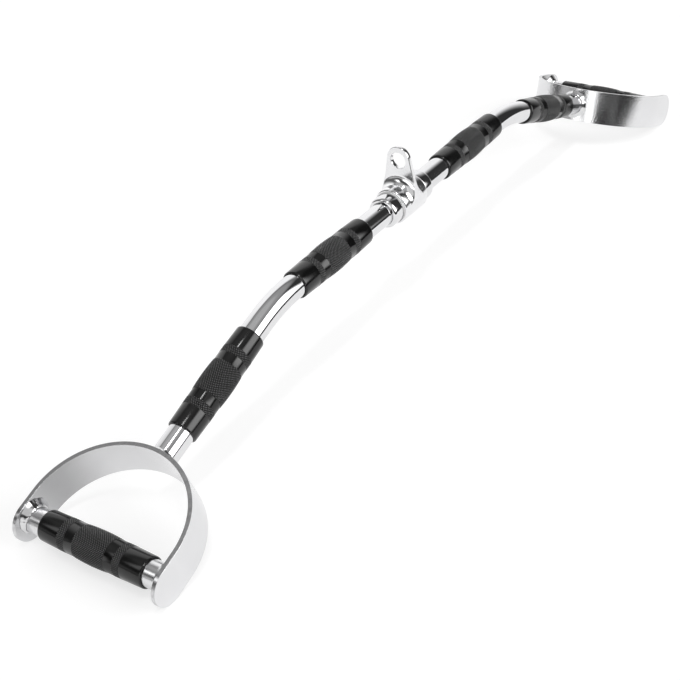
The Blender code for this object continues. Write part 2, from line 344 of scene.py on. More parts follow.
def knurled_rows(start, end, radius_at):
    """Rings of a knurled zone, half a pitch apart, as (x, radius, knurled)."""
    rows = 2 * max(1, round(abs(start - end) / KNURL_PITCH))
    places = [start + (end - start) * row / rows for row in range(rows + 1)]
    return [(x, radius_at(x), True) for x in places]


def grip_stations(length_of_grip):
    """Rings from one end of a grip to the other, each as (x, radius, knurled)."""
    grip = grip_sizes()
    half = length_of_grip / 2
    end, band, belly = grip.end_diameter / 2, grip.band_diameter / 2, grip.belly_diameter / 2
    ring = band - RING_STEP
    shoulder = ring + BELLY_STEP
    band_start = half - GRIP_SHARES["end"] * length_of_grip
    band_end = band_start - GRIP_SHARES["band"] * length_of_grip
    belly_start = band_end - GRIP_SHARES["ring"] * length_of_grip

    def belly_radius(x):
        return shoulder + (belly - shoulder) * (1 - (x / belly_start) ** 2)

    stations = [(half - inwards, end - down, False) for inwards, down in TIP_ROUNDING]
    stations += [(half - CAP_LENGTH, end + CAP_RISE, False),
                 (band_start + STEP_EDGE, ring, False)]
    stations += knurled_rows(band_start, band_end, lambda x: band + RING_STEP)
    stations += [(band_end - STEP_EDGE, ring, False), (belly_start + STEP_EDGE, ring, False)]
    mirrored = [(-x, radius, knurled) for x, radius, knurled in reversed(stations)]
    return stations + knurled_rows(belly_start, -belly_start, belly_radius) + mirrored


def grip_mesh(length_of_grip):
    """A sleeve with smooth ends and rings, and small pyramids on its bands and belly."""
    sleeve = bar_sizes().diameter / 2 + GAP
    stations = grip_stations(length_of_grip)
    bm = bmesh.new()
    rings = []
    for index, (x, radius, knurled) in enumerate(stations):
        ring = []
        for side in range(GRIP_SIDES):
            low = KNURL_DEPTH if knurled and (index + side) % 2 else 0.0
            angle = 2 * pi * side / GRIP_SIDES
            ring.append(Vector((x, (radius - low) * cos(angle), (radius - low) * sin(angle))))
        rings.append(ring)
    half = length_of_grip / 2
    for x in (-half, half):
        rings.append(ring_at(x, sleeve, GRIP_SIDES))
    skin(bm, rings, closed=True)
    mark_peaks(bm, stations)
    cut_pyramids(bm, stations)
    return bm


def mark_peaks(bm, stations):
    """Write 1 at the knurl's peaks and 0 everywhere else, for the material to read."""
    peak = bm.verts.layers.float.new(KNURL_PEAK)
    bm.verts.ensure_lookup_table()
    for index, (_, _, knurled) in enumerate(stations):
        for side in range(GRIP_SIDES):
            if knurled and (index + side) % 2 == 0:
                bm.verts[index * GRIP_SIDES + side][peak] = 1.0


def cut_pyramids(bm, stations):
    """Split each face of the knurl along its groove, between its two low corners."""
    bm.faces.ensure_lookup_table()
    faces = list(bm.faces)
    for index in range(len(stations) - 1):
        if stations[index][2] and stations[index + 1][2]:
            for side in range(GRIP_SIDES):
                face = faces[index * GRIP_SIDES + side]
                face.material_index = KNURL_SLOT
                before, here, there, after = face.verts
                if (index + side) % 2:
                    bmesh.utils.face_split(face, here, after)
                else:
                    bmesh.utils.face_split(face, before, there)


STRAP_ARC_STEPS = 48
STRAP_TIP_STEPS = 18
STRAP_TIP_HALF_WIDTH = 0.0012
STRAP_EDGE = 0.0007
STRAP_EDGE_STEPS = 3
STRAP_EDGE_ANGLE = radians(60)


def half_strap_line():
    """Points (x, y, half width) of the strap's outer face from its top to one rounded tip."""
    handle = handle_sizes()
    reach, tip_radius = handle.outer_width / 2, handle.strap_width / 2
    tip_start = handle.leg_start + handle.leg_length
    line = []
    for angle in turns(STRAP_ARC_STEPS):
        line.append((handle.leg_start * (1 - cos(angle)), reach * sin(angle), tip_radius))
    for angle in turns(STRAP_TIP_STEPS, 0.0, acos(STRAP_TIP_HALF_WIDTH / tip_radius)):
        line.append((tip_start + tip_radius * sin(angle), reach, tip_radius * cos(angle)))
    return line


def strap_mesh():
    """The outer face of a D-shaped strap as one sheet.

    Its texture places are metres across the strap and metres along it from its top."""
    half = half_strap_line()
    line = [(x, -y, width) for x, y, width in reversed(half[1:])] + half
    bm = bmesh.new()
    sheet = bm.loops.layers.uv.new("along the strap")
    steps = zip(half, half[1:])
    travel = -sum((Vector(after[:2]) - Vector(before[:2])).length for before, after in steps)
    before = None
    for x, y, width in line:
        if before:
            travel += (Vector((x, y)) - before["place"]).length
        station = {"place": Vector((x, y)), "travel": travel, "width": width,
                   "upper": bm.verts.new((x, y, width)), "lower": bm.verts.new((x, y, -width))}
        if before:
            face = bm.faces.new((before["upper"], station["upper"],
                                 station["lower"], before["lower"]))
            corners = ((before, 1), (station, 1), (station, -1), (before, -1))
            for loop, (end, side) in zip(face.loops, corners):
                loop[sheet].uv = (side * end["width"], end["travel"])
        before = station
    return bm


def apply_modifiers(piece):
    """Bake a piece's modifiers into its mesh."""
    evaluated = piece.evaluated_get(bpy.context.evaluated_depsgraph_get())
    mesh = bpy.data.meshes.new_from_object(evaluated)
    piece.modifiers.clear()
    piece.data = mesh


def bake_place(piece):
    """Move a piece's place into its mesh, so that its box is the box of its points."""
    piece.data.transform(piece.matrix_world)
    piece.matrix_world = Matrix.Identity(4)


def leg_inner_face():
    handle = handle_sizes()
    return handle.outer_width / 2 - handle.strap_thickness


def handle_rod_mesh():
    reach = leg_inner_face() - GAP
    radius = bar_sizes().diameter / 2
    bm = bmesh.new()
    skin(bm, [ring_at(x, radius, TUBE_SIDES) for x in (-reach, reach)], closed=False)
    return bm


WELD_SIDES = 144
WELD_SWELL = 1.25
WELD_CREST = 0.80
WELD_CREST_TURN = radians(40)
WELD_WAVES = ((3, 0.4, 0.08), (5, 2.1, 0.06), (8, 1.2, 0.05), (13, 0.7, 0.04), (21, 2.9, 0.02))
WELD_RIPPLES = 17
WELD_RIPPLE_SHARE = 0.05
WELD_PROFILE = [(0.0, 0.0), (0.0, 0.5), (0.0, 1.0), (0.06, 0.99), (0.16, 0.92), (0.30, 0.76),
                (0.45, 0.56), (0.62, 0.38), (0.80, 0.20), (0.92, 0.08), (1.0, 0.0), (0.5, 0.0)]


def weld_mesh(base, turn, crest, crest_turn):
    """A lumpy ring round the X axis, standing on the surface x = base(y), fuller at its crest.

    The turn shifts its lumps, so that like beads differ."""
    sleeve = bar_sizes().diameter / 2 + GAP
    leg = handle_sizes().weld_leg
    rings = []
    for index in range(WELD_SIDES):
        angle = 2 * pi * index / WELD_SIDES
        swell = WELD_SWELL - WELD_RIPPLE_SHARE * abs(sin(WELD_RIPPLES * angle / 2))
        swell += crest * sin(angle + crest_turn)
        for waves, start, share in WELD_WAVES:
            swell += share * sin(waves * angle + start + turn)
        ring = []
        for out, up in WELD_PROFILE:
            radius = sleeve + leg * out * swell
            y = radius * cos(angle)
            ring.append(Vector((base(y) - GAP - leg * up * swell, y, radius * sin(angle))))
        rings.append(ring)
    bm = bmesh.new()
    skin(bm, rings, closed=True)
    return bm


def strap_top(y):
    """How far the strap's round top has fallen away at a distance y from its middle."""
    handle = handle_sizes()
    return handle.leg_start * (1 - sqrt(1 - (2 * y / handle.outer_width) ** 2))


def leg_face(_):
    """The inside of a strap's leg, which is flat."""
    return 0.0


LUG_TOP_STEPS = 24
LUG_SIDE_STEPS = 16
LUG_FOOT_STEPS = 10
BARREL_STEPS = 30
LIP_STEPS = 4
FILLET_STEPS = 22
LUG_EDGE = 0.0009
LUG_EDGE_STEPS = 3
EYE_EDGE = 0.0006
EYE_EDGE_STEPS = 4
EYE_SIDES = 96
CUTTER_REACH = 0.001
MERGE_DISTANCE = 1e-6
LEVEL_NORMAL = 0.99999
LEVEL_REACH = 0.00001


def half_lug_outline():
    """Points (y, z) round half of the hanger, from its top to its lowest point."""
    size = hanger_sizes()
    barrel = size.barrel_diameter / 2
    top, foot, rise = size.lug_top_radius, size.lug_foot_radius, size.lug_foot_rise
    top_centre = size.lug_top_height - top
    tangent = acos((foot - top) / (top_centre - rise))
    meeting_height = (barrel ** 2 + rise ** 2 - foot ** 2) / (2 * rise)
    meeting = acos((meeting_height - rise) / foot)
    barrel_start = acos(meeting_height / barrel)

    def arc(radius, centre, angles):
        return [(radius * sin(angle), centre + radius * cos(angle)) for angle in angles]

    top_arc = arc(top, top_centre, turns(LUG_TOP_STEPS, 0.0, tangent))
    foot_arc = arc(foot, rise, turns(LUG_FOOT_STEPS, tangent, meeting))
    barrel_arc = arc(barrel, 0.0, turns(BARREL_STEPS, barrel_start, pi))
    start, end = Vector(top_arc.pop()), Vector(foot_arc[0])
    flank = [tuple(start.lerp(end, step / LUG_SIDE_STEPS)) for step in range(LUG_SIDE_STEPS)]
    return top_arc + flank + foot_arc[:-1] + barrel_arc


def half_hanger_section(reach, bore):
    """Points (x, radius) from the bore to the rim of the lug, which stands out to reach."""
    size = hanger_sizes()
    barrel, lip = size.barrel_diameter / 2, size.barrel_lip
    half_length = size.barrel_length / 2
    section = [(half_length, bore)]
    for turn in turns(LIP_STEPS):
        section.append((half_length - lip * (1 - cos(turn)), barrel - lip * (1 - sin(turn))))
    height = max(0.0, reach - barrel)
    wall = size.lug_thickness / 2
    for turn in turns(FILLET_STEPS, 0.0, acos(1 - min(1.0, height / size.fillet))):
        section.append((wall + size.fillet * (1 - sin(turn)),
                        barrel + size.fillet * (1 - cos(turn))))
    edge = min(LUG_EDGE, max(0.0, height - size.fillet))
    flat_end = section[-1][0]
    for turn in turns(LUG_EDGE_STEPS):
        section.append((flat_end - edge * (1 - cos(turn)),
                        barrel + height - edge * (1 - sin(turn))))
    return section


def eye_cutter():
    """A rod with flared ends that cuts the eye and rounds its edges."""
    size = hanger_sizes()
    radius, wall = size.eye_diameter / 2, size.lug_thickness / 2
    half = []
    for turn in turns(EYE_EDGE_STEPS):
        half.append((wall - EYE_EDGE * (1 - sin(turn)), radius + EYE_EDGE * (1 - cos(turn))))
    half.append((wall + CUTTER_REACH, radius + EYE_EDGE))
    stations = [(-x, reach) for x, reach in reversed(half)] + half
    bm = bmesh.new()
    skin(bm, [ring_at(x, reach, EYE_SIDES) for x, reach in stations], closed=False)
    place = centre_frame() @ Matrix.Translation((0, 0, size.eye_height))
    return add_piece("eye_cutter", bm, place, [])


def hanger_mesh():
    """The barrel that turns on the bar, and the lug, blended with hollow fillets."""
    low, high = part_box("bushing_right")
    bore = (high.z - low.z) / 2 + GAP
    half = half_lug_outline()
    outline = half + [(-y, z) for y, z in reversed(half[1:-1])]
    rings = []
    for y, z in outline:
        angle = atan2(y, z)
        section = half_hanger_section(sqrt(y * y + z * z), bore)
        section += [(-x, radius) for x, radius in reversed(section)]
        rings.append([Vector((x, radius * sin(angle), radius * cos(angle)))
                      for x, radius in section])
    bm = bmesh.new()
    skin(bm, rings, closed=True)
    bmesh.ops.remove_doubles(bm, verts=bm.verts, dist=MERGE_DISTANCE)
    return bm


def level_lug_faces(mesh):
    """Shade the lug's two flat faces as flat right up to their rounded edges."""
    wall = hanger_sizes().lug_thickness / 2
    flat = {}
    for face in mesh.polygons:
        if abs(face.normal.x) > LEVEL_NORMAL and abs(abs(face.center.x) - wall) < LEVEL_REACH:
            for vertex in face.vertices:
                flat[vertex] = Vector((1 if face.normal.x > 0 else -1, 0, 0))
    normals = []
    for loop, corner in zip(mesh.loops, mesh.corner_normals):
        level = flat.get(loop.vertex_index)
        tilted = level is None or level.dot(corner.vector) < cos(SMOOTH_ANGLE)
        normals.append(tuple(corner.vector) if tilted else tuple(level))
    mesh.normals_split_custom_set(normals)


COLLAR_NOSE_LENGTH = 0.004
COLLAR_NOSE_STEPS = 8
COLLAR_EDGE = 0.0008
WASHER_EDGE = 0.0003


def collar_profile(start):
    """Points (x, radius) of a collar, from its flat face to its rounded nose."""
    size = hanger_sizes()
    sleeve = bar_sizes().diameter / 2 + GAP
    end = start + size.collar_length
    outer, nose = size.collar_diameter / 2, size.collar_nose_diameter / 2
    shoulder = end - COLLAR_NOSE_LENGTH
    profile = [(start, sleeve)]
    profile += rounded((start, sleeve), (start, outer), (end, outer), COLLAR_EDGE)
    for turn in turns(COLLAR_NOSE_STEPS):
        profile.append((shoulder + COLLAR_NOSE_LENGTH * sin(turn),
                        nose + (outer - nose) * cos(turn)))
    profile.append((end, sleeve))
    return profile


def washer_profile(start, end):
    """Points (x, radius) of a flat washer with small edge roundings."""
    sleeve = bar_sizes().diameter / 2 + GAP
    rim = hanger_sizes().washer_diameter / 2
    corners = [(start, sleeve), (start, rim), (end, rim), (end, sleeve)]
    return ([corners[0]] + rounded(*corners[:3], WASHER_EDGE)
            + rounded(*corners[1:], WASHER_EDGE) + [corners[3]])


# Materials


def new_material(name):
    material = bpy.data.materials.new(name)
    material.use_nodes = True
    return material, material.node_tree, material.node_tree.nodes["Principled BSDF"]


def add_node(tree, kind, **inputs):
    """Add a node and set the inputs that are named, with spaces written as underscores."""
    node = tree.nodes.new(kind)
    for name, value in inputs.items():
        node.inputs[name.replace("_", " ")].default_value = value
    return node


def map_range(tree, source, low, high):
    """Spread a 0 to 1 value between two others."""
    node = add_node(tree, "ShaderNodeMapRange", To_Min=low, To_Max=high)
    tree.links.new(source, node.inputs["Value"])
    return node.outputs["Result"]


def calculate(tree, operation, *values):
    """Add a Math node; each value is a number or the output of another node."""
    node = tree.nodes.new("ShaderNodeMath")
    node.operation = operation
    for socket, value in zip(node.inputs, values):
        if isinstance(value, (int, float)):
            socket.default_value = value
        else:
            tree.links.new(value, socket)
    return node.outputs["Value"]


def rise(tree, value, start, end, top=1.0):
    """Go smoothly from 0 to the top between two values."""
    node = add_node(tree, "ShaderNodeMapRange", From_Min=start, From_Max=end, To_Max=top)
    node.interpolation_type = "SMOOTHSTEP"
    tree.links.new(value, node.inputs["Value"])
    return node.outputs["Result"]


def window(tree, value, middle, half, fade):
    """1 within half of the middle, falling smoothly to 0 outside."""
    away = calculate(tree, "ABSOLUTE", calculate(tree, "SUBTRACT", value, middle))
    return calculate(tree, "SUBTRACT", 1.0, rise(tree, away, half - fade, half + fade))


def mix_colour(tree, factor, first, second):
    node = tree.nodes.new("ShaderNodeMix")
    node.data_type = "RGBA"
    node.inputs["A"].default_value = (*first, 1.0)
    node.inputs["B"].default_value = (*second, 1.0)
    tree.links.new(factor, node.inputs["Factor"])
    return node.outputs["Result"]


def multiply_colour(tree, first, second):
    node = tree.nodes.new("ShaderNodeMix")
    node.data_type = "RGBA"
    node.blend_type = "MULTIPLY"
    node.inputs["Factor"].default_value = 1.0
    tree.links.new(first, node.inputs["A"])
    tree.links.new(second, node.inputs["B"])
    return node.outputs["Result"]


# Stretches the pattern of the polishing lines along X
LINE_STRETCH = (0.03, 1.0, 1.0)


def handling_group():
    """Soft smudges, fine grain and long polishing lines, each as a 0 to 1 value."""
    found = bpy.data.node_groups.get("handling marks")
    if found:
        return found
    group = bpy.data.node_groups.new("handling marks", "ShaderNodeTree")
    group.interface.new_socket("Place", in_out="INPUT", socket_type="NodeSocketVector")
    for name, default in (("Smudge Scale", 20.0), ("Grain Scale", 900.0), ("Line Scale", 400.0)):
        socket = group.interface.new_socket(name, in_out="INPUT", socket_type="NodeSocketFloat")
        socket.default_value = default
    for name in ("Smudge", "Grain", "Lines"):
        group.interface.new_socket(name, in_out="OUTPUT", socket_type="NodeSocketFloat")
    given = group.nodes.new("NodeGroupInput")
    result = group.nodes.new("NodeGroupOutput")
    place = given.outputs["Place"]

    smudge = add_node(group, "ShaderNodeTexNoise", Detail=4.0, Roughness=0.55, Distortion=0.6)
    spread = add_node(group, "ShaderNodeMapRange", From_Min=0.35, From_Max=0.68)
    grain = add_node(group, "ShaderNodeTexNoise", Detail=3.0, Roughness=0.6)
    lines = add_node(group, "ShaderNodeTexNoise", Detail=2.0, Roughness=0.5)
    stretch = group.nodes.new("ShaderNodeMapping")
    stretch.inputs["Scale"].default_value = LINE_STRETCH
    links = group.links
    links.new(place, smudge.inputs["Vector"])
    links.new(place, grain.inputs["Vector"])
    links.new(place, stretch.inputs["Vector"])
    links.new(stretch.outputs["Vector"], lines.inputs["Vector"])
    links.new(given.outputs["Smudge Scale"], smudge.inputs["Scale"])
    links.new(given.outputs["Grain Scale"], grain.inputs["Scale"])
    links.new(given.outputs["Line Scale"], lines.inputs["Scale"])
    links.new(smudge.outputs["Fac"], spread.inputs["Value"])
    links.new(spread.outputs["Result"], result.inputs["Smudge"])
    links.new(grain.outputs["Fac"], result.inputs["Grain"])
    links.new(lines.outputs["Fac"], result.inputs["Lines"])
    return group


def add_handling(tree, smudge, grain, lines, place="Object"):
    """Place the marks, by the object's own axes or by a strap's texture places."""
    node = tree.nodes.new("ShaderNodeGroup")
    node.node_tree = handling_group()
    node.inputs["Smudge Scale"].default_value = smudge
    node.inputs["Grain Scale"].default_value = grain
    node.inputs["Line Scale"].default_value = lines
    source = tree.nodes.new("ShaderNodeTexCoord")
    tree.links.new(source.outputs[place], node.inputs["Place"])
    return node


def add_bump(tree, shader, height, strength, distance, before=None):
    """Raise the surface by a height, on top of an earlier bump if there is one."""
    bump = add_node(tree, "ShaderNodeBump", Strength=strength, Distance=distance)
    tree.links.new(height, bump.inputs["Height"])
    if before:
        tree.links.new(before.outputs["Normal"], bump.inputs["Normal"])
    tree.links.new(bump.outputs["Normal"], shader.inputs["Normal"])
    return bump


# Each plate's colour, the scales of its smudges, grain and lines per metre, its smooth and worn
# roughness, how much of its colour is left where worn, the strength of the grain's and the
# lines' bumps, and whether the marks follow the object's axes or a strap's texture places.
Plate = namedtuple("Plate", "colour scales roughness worn grain lines place")
PLATES = {
    "polished_chrome": Plate("chrome", (28, 420, 700), (0.05, 0.09), 0.95, 0.024, 0.02, "Object"),
    "rod_chrome": Plate("chrome", (40, 700, 700), (0.14, 0.24), 0.95, 0.1, 0.08, "Object"),
    "strap_chrome": Plate("chrome", (18, 520, 300), (0.10, 0.17), 0.95, 0.3, 0.16, "UV"),
    "brushed_chrome": Plate("weld", (14, 520, 600), (0.16, 0.26), 0.95, 0.05, 0.06, "UV"),
    # Darker and more mottled on the rims, as painted shade
    "rim_chrome": Plate("rim", (150, 420, 500), (0.14, 0.26), 0.72, 0.1, 0.02, "Object"),
    # Lighter than the bar's chrome, as painted light on the hanger
    "cast_chrome": Plate("cast", (60, 260, 500), (0.11, 0.20), 0.95, 0.08, 0.01, "Object"),
    "weld_chrome": Plate("weld", (90, 450, 900), (0.22, 0.34), 0.95, 0.7, 0.01, "Object"),
}
PLATE_BUMP = 0.0004

# Painted shade on each leg of a strap's inside, for the darker floor it reflects, measured along
# the strap from its top
LEG_PAINTED_SHADE = 0.58
LEG_SHADE_MIDDLE = 0.108
LEG_SHADE_HALF_LENGTH = 0.030
LEG_SHADE_FADE = 0.028

# Each rubber's colour, its smooth and worn roughness, how many times lighter the worn places
# are, its gloss and the strength of the grain's bump
Rubber = namedtuple("Rubber", "colour roughness worn gloss grain")
RUBBERS = {
    "smooth_rubber": Rubber("rubber", (0.11, 0.20), 1.5, 0.48, 0.02),
    "knurled_rubber": Rubber("knurl", (0.35, 0.50), 1.15, 0.24, 0.1),
}
RUBBER_SCALES = (45, 1500, 600)
RUBBER_BUMP = 0.0003
# Share of the knurl's colour left in its grooves, as painted shade
GROOVE_PAINTED_SHADE = 0.01
KNURL_SHARPNESS = 3.0

# Each bearing material's colour, metallic share, smooth and worn roughness, and how much of its
# colour is left where worn
Bearing = namedtuple("Bearing", "colour metallic roughness worn")
BEARINGS = {
    "oiled_bronze": Bearing("bronze", 1.0, (0.30, 0.45), 0.8),
    "plain_nylon": Bearing("nylon", 0.0, (0.35, 0.55), 0.8),
}
BEARING_SCALES = (120, 2200, 900)
BEARING_LINES = 0.1
BEARING_BUMP = 0.0002


def add_finish(tree, shader, marks, finish, wear="Smudge", paint_shade=None):
    """Give a shader a colour and a roughness that both go from smooth to worn."""
    base = tuple(getattr(bpy.context.scene.pulldown_finishes, finish.colour))
    worn = tuple(channel * finish.worn for channel in base)
    tint = mix_colour(tree, marks.outputs["Smudge"], base, worn)
    # Painted shade, where a material asks for it
    if paint_shade:
        tint = paint_shade(tree, tint)
    tree.links.new(tint, shader.inputs["Base Color"])
    roughness = map_range(tree, marks.outputs[wear], *finish.roughness)
    tree.links.new(roughness, shader.inputs["Roughness"])


def plated(name):
    """Plated steel, polished or dull, with the marks of handling."""
    found = bpy.data.materials.get(name)
    if found:
        return found
    plate = PLATES[name]
    material, tree, shader = new_material(name)
    shader.inputs["Metallic"].default_value = 1.0
    marks = add_handling(tree, *plate.scales, place=plate.place)
    # The straps' insides get painted shade along their legs
    paint_shade = paint_leg_shade if name == "brushed_chrome" else None
    add_finish(tree, shader, marks, plate, paint_shade=paint_shade)
    grain = add_bump(tree, shader, marks.outputs["Grain"], plate.grain, PLATE_BUMP)
    add_bump(tree, shader, marks.outputs["Lines"], plate.lines, PLATE_BUMP, grain)
    return material


def paint_groove_shade(tree, tint):
    """Paint shade into the knurl's grooves and keep the light colour on the peaks, which is
    partly rubbed wear and partly painted highlight.
    """
    peak = tree.nodes.new("ShaderNodeAttribute")
    peak.attribute_name = KNURL_PEAK
    sharp = calculate(tree, "POWER", peak.outputs["Fac"], KNURL_SHARPNESS)
    return multiply_colour(tree, tint, mix_colour(tree, sharp, (GROOVE_PAINTED_SHADE,) * 3, (1.0,) * 3))


def paint_leg_shade(tree, tint):
    """Paint shade into a strap's colour along its two legs, for the darker floor that they
    reflect.
    """
    place = tree.nodes.new("ShaderNodeTexCoord").outputs["UV"]
    parts = tree.nodes.new("ShaderNodeSeparateXYZ")
    tree.links.new(place, parts.inputs["Vector"])
    from_top = calculate(tree, "ABSOLUTE", parts.outputs["Y"])
    leg_shade_mask = window(tree, from_top, LEG_SHADE_MIDDLE, LEG_SHADE_HALF_LENGTH, LEG_SHADE_FADE)
    return multiply_colour(tree, tint, mix_colour(tree, leg_shade_mask, (1.0,) * 3, (LEG_PAINTED_SHADE,) * 3))


def rubber_material(name):
    """Black rubber, whose gloss is the shader's specular level."""
    rubber = RUBBERS[name]
    material, tree, shader = new_material(name)
    shader.inputs["Specular IOR Level"].default_value = rubber.gloss
    marks = add_handling(tree, *RUBBER_SCALES)
    # Painted shade in the knurl's grooves
    paint_shade = paint_groove_shade if name == "knurled_rubber" else None
    add_finish(tree, shader, marks, rubber, paint_shade=paint_shade)
    add_bump(tree, shader, marks.outputs["Grain"], rubber.grain, RUBBER_BUMP)
    return material


def bearing_material(name):
    """Bronze or nylon of the pieces inside the hanger."""
    found = bpy.data.materials.get(name)
    if found:
        return found
    bearing = BEARINGS[name]
    material, tree, shader = new_material(name)
    shader.inputs["Metallic"].default_value = bearing.metallic
    marks = add_handling(tree, *BEARING_SCALES)
    add_finish(tree, shader, marks, bearing, wear="Grain")
    add_bump(tree, shader, marks.outputs["Lines"], BEARING_LINES, BEARING_BUMP)
    return material


def set_node_material(node, material):
    """Give a CAD node that stays in view its finished material."""
    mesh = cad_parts[node].data
    mesh.materials.clear()
    mesh.materials.append(material)


# Operators


class PULLDOWN_OT_main_bar(bpy.types.Operator):
    """Build the bent chrome bar"""

    bl_idname = "pulldown.main_bar"
    bl_label = "Main Bar"

    def execute(self, context):
        piece = add_piece("bar_tube", main_bar_mesh(), centre_frame(),
                          [plated("polished_chrome")])
        finish_piece(piece, FIXED_BODY, ["main_bar"])
        return {"FINISHED"}


class PULLDOWN_OT_grips(bpy.types.Operator):
    """Build the six rubber grips"""

    bl_idname = "pulldown.grips"
    bl_label = "Grips"

    def execute(self, context):
        grip = grip_sizes()
        materials = [rubber_material("smooth_rubber"), rubber_material("knurled_rubber")]
        for label, side in SIDES.items():
            inner_middle = grip.inner_start + grip.bar_grip / 2
            inner = side_frame(side) @ Matrix.Translation((inner_middle, 0, 0))
            outer = outer_frame(side, grip.outer_start + grip.bar_grip / 2)
            for kind, place, size in (("inner_grip", inner, grip.bar_grip),
                                      ("outer_grip", outer, grip.bar_grip),
                                      ("handle_grip", across_frame(side), grip.handle_grip)):
                name = kind + "_" + label
                piece = add_piece(name + "_sleeve", grip_mesh(size), place, materials)
                bake_place(piece)
                finish_piece(piece, FIXED_BODY, [name])
        return {"FINISHED"}


class PULLDOWN_OT_handle_straps(bpy.types.Operator):
    """Build the two D-shaped straps"""

    bl_idname = "pulldown.handle_straps"
    bl_label = "Handle Straps"

    def execute(self, context):
        materials = [plated(name) for name in ("strap_chrome", "brushed_chrome", "rim_chrome")]
        for label, side in SIDES.items():
            place = outer_frame(side, bar_sizes().outer_run)
            piece = add_piece("d_strap_" + label, strap_mesh(), place, materials)
            thicken = piece.modifiers.new("thickness", "SOLIDIFY")
            thicken.thickness = handle_sizes().strap_thickness
            thicken.offset = -1
            thicken.material_offset = 1
            # The rims take the darker plate with painted shade
            thicken.material_offset_rim = 2
            thicken.use_even_offset = True
            soften = piece.modifiers.new("edges", "BEVEL")
            soften.width = STRAP_EDGE
            soften.segments = STRAP_EDGE_STEPS
            soften.limit_method = "ANGLE"
            soften.angle_limit = STRAP_EDGE_ANGLE
            level = piece.modifiers.new("level faces", "WEIGHTED_NORMAL")
            level.keep_sharp = True
            apply_modifiers(piece)
            bake_place(piece)
            finish_piece(piece, FIXED_BODY, ["handle_strap_" + label])
        return {"FINISHED"}


class PULLDOWN_OT_handle_rods(bpy.types.Operator):
    """Build the cross rods of the handles"""

    bl_idname = "pulldown.handle_rods"
    bl_label = "Handle Rods"

    def execute(self, context):
        for label, side in SIDES.items():
            piece = add_piece("cross_rod_" + label, handle_rod_mesh(), across_frame(side),
                              [plated("rod_chrome")])
            finish_piece(piece, FIXED_BODY, ["handle_rod_" + label])
        return {"FINISHED"}


class PULLDOWN_OT_welds(bpy.types.Operator):
    """Build the weld beads at the straps"""

    bl_idname = "pulldown.welds"
    bl_label = "Welds"

    def execute(self, context):
        materials = [plated("weld_chrome")]
        for label, side in SIDES.items():
            place = outer_frame(side, bar_sizes().outer_run)
            mesh = weld_mesh(strap_top, side, 0.0, 0.0)
            bead = add_piece("bar_bead_" + label, mesh, place, materials)
            finish_piece(bead, FIXED_BODY, ["strap_weld_" + label])
            for leg_label, leg in LEGS.items():
                face = Matrix.Translation((0, leg * leg_inner_face(), 0))
                turn = Matrix.Rotation(leg * pi / 2, 4, "Z")
                where = label + "_" + leg_label
                mesh = weld_mesh(leg_face, side + 2 * leg, WELD_CREST, leg * WELD_CREST_TURN)
                bead = add_piece("rod_bead_" + where, mesh, handle_frame(side) @ face @ turn,
                                 materials)
                bake_place(bead)
                finish_piece(bead, FIXED_BODY, ["handle_weld_" + where])
        return {"FINISHED"}


class PULLDOWN_OT_hanger(bpy.types.Operator):
    """Build the hanger that turns on the bar"""

    bl_idname = "pulldown.hanger"
    bl_label = "Hanger"

    def execute(self, context):
        piece = add_piece("hanger_body", hanger_mesh(), centre_frame(), [plated("cast_chrome")])
        cutter = eye_cutter()
        cut = piece.modifiers.new("eye", "BOOLEAN")
        cut.operation = "DIFFERENCE"
        cut.object = cutter
        apply_modifiers(piece)
        bpy.data.objects.remove(cutter, do_unlink=True)
        level_lug_faces(piece.data)
        finish_piece(piece, TURNING_BODY, ["swivel_hanger"])
        for label in SIDES:
            set_node_material("bushing_" + label, bearing_material("oiled_bronze"))
        return {"FINISHED"}


class PULLDOWN_OT_collars(bpy.types.Operator):
    """Build the collars and washers beside the hanger"""

    bl_idname = "pulldown.collars"
    bl_label = "Collars and Washers"

    def execute(self, context):
        size = hanger_sizes()
        start = size.barrel_length / 2 + GAP
        end = start + size.washer_thickness
        for label, side in SIDES.items():
            washer = add_piece("washer_ring_" + label, turned(washer_profile(start, end)),
                               side_frame(side), [bearing_material("plain_nylon")])
            finish_piece(washer, FIXED_BODY, ["washer_" + label])
            collar = add_piece("collar_ring_" + label, turned(collar_profile(end + GAP)),
                               side_frame(side), [plated("polished_chrome")])
            finish_piece(collar, FIXED_BODY, ["collar_" + label])
        return {"FINISHED"}


CAMERA_OFFSET = (-1.05540762, -0.70920809, 0.6943298)
CAMERA_TURN = (55.5539, 4.5001, -55.6344)

# The soft light panels round the room, seen from the bar. Each has the bearing of its middle
# from +X towards +Y, half its width and how softly its sides fade, then the height of its middle
# above the horizon, half its height and how softly its top and bottom fade, all in degrees,
# and last its level.
Panel = namedtuple("Panel", "bearing half_width side_fade height half_height fade level")
LIGHT_PANELS = (
    Panel(-72, 22, 8, 24.5, 19.5, 7, 4.8),
    Panel(44, 43, 22, 18, 28, 6, 1.08),
    Panel(138, 9, 5, 43, 11, 5, 1.6),
    Panel(178, 18, 3, 12, 14, 6, 1.6),
    Panel(-132, 36, 6, 36, 21, 4, 0.60),
    Panel(112, 32, 10, 20, 45, 12, 0.08),
    Panel(-131, 6, 4, 6, 12, 5, 0.06),
    Panel(143, 17, 6, 8, 6, 4, 0.42),
)
ROOM_LEVEL = 0.035
# The ceiling brightens in two steps: the direction's Z where each starts and ends, and its level
CEILING = ((0.72, 0.85, 0.30), (0.89, 0.96, 0.14))
# A narrow bright strip overhead, long in X, measured in a direction of length 1
STRIP_LEVEL = 21.0
STRIP_MIDDLE = (-0.165, -0.145)
STRIP_HALF_WIDTH = 0.038
STRIP_SIDE_FADE = 0.02
STRIP_HALF_LENGTH = 0.165
STRIP_END_FADE = 0.03
STRIP_LOWEST = 0.5


